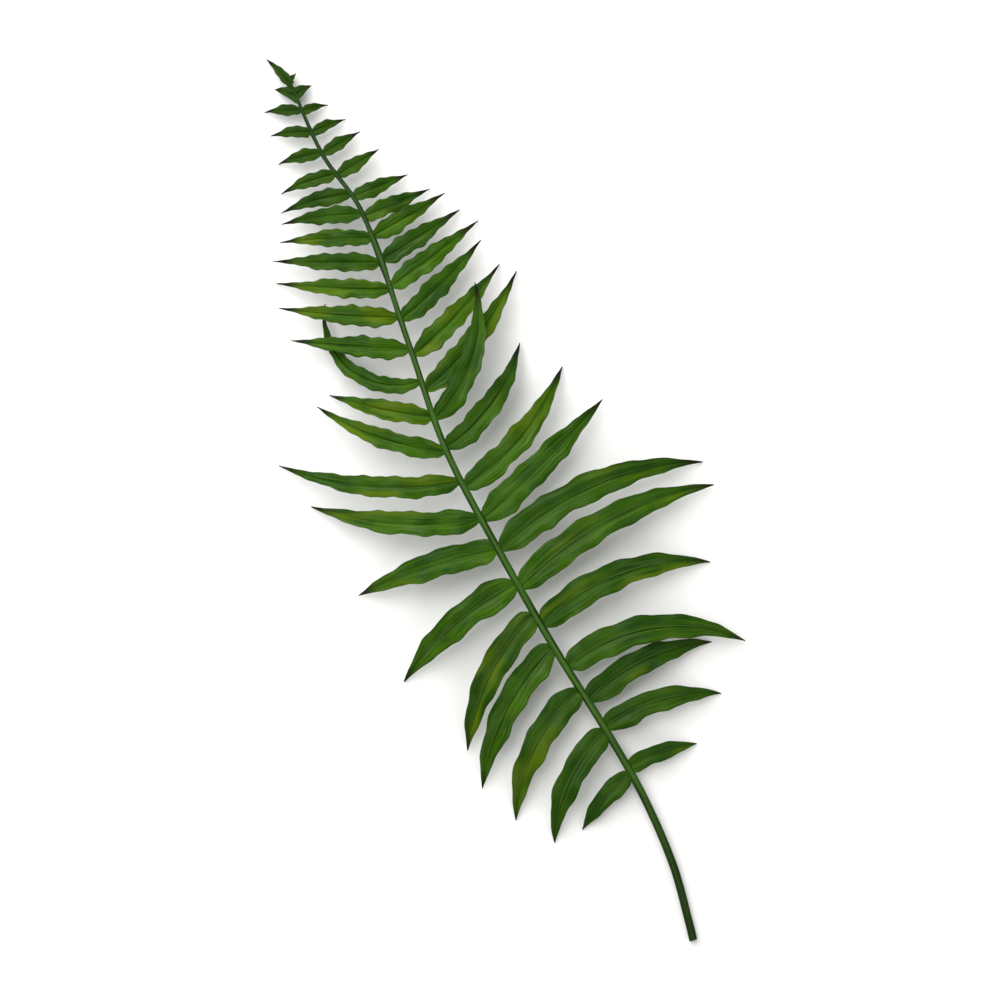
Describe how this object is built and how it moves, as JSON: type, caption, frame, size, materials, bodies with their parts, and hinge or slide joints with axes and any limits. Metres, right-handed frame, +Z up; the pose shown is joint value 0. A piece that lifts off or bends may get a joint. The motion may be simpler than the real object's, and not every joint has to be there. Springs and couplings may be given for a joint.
{
  "type": "fern frond",
  "caption": "Picked fern frond lying face up: an arched stalk with paired, wavy-edged, pointed leaflets that shorten towards a small lobed tip.",
  "frame": {"origin": "on the surface the frond lies on, in the middle of the flat spot under the cut end of its stalk", "axes": "+Y from the cut end to the tip, +X to the frond's right side seen from above, +Z up from the surface"},
  "size_m": [0.1865, 0.4764, 0.0291],
  "materials": {
    "leaf": "waxy satin leaf, mid green with darker ribs and tips, on a green stalk that darkens towards its cut end"
  },
  "bodies": {
    "root": {"frond": "leaf"}
  },
  "joints": []
}
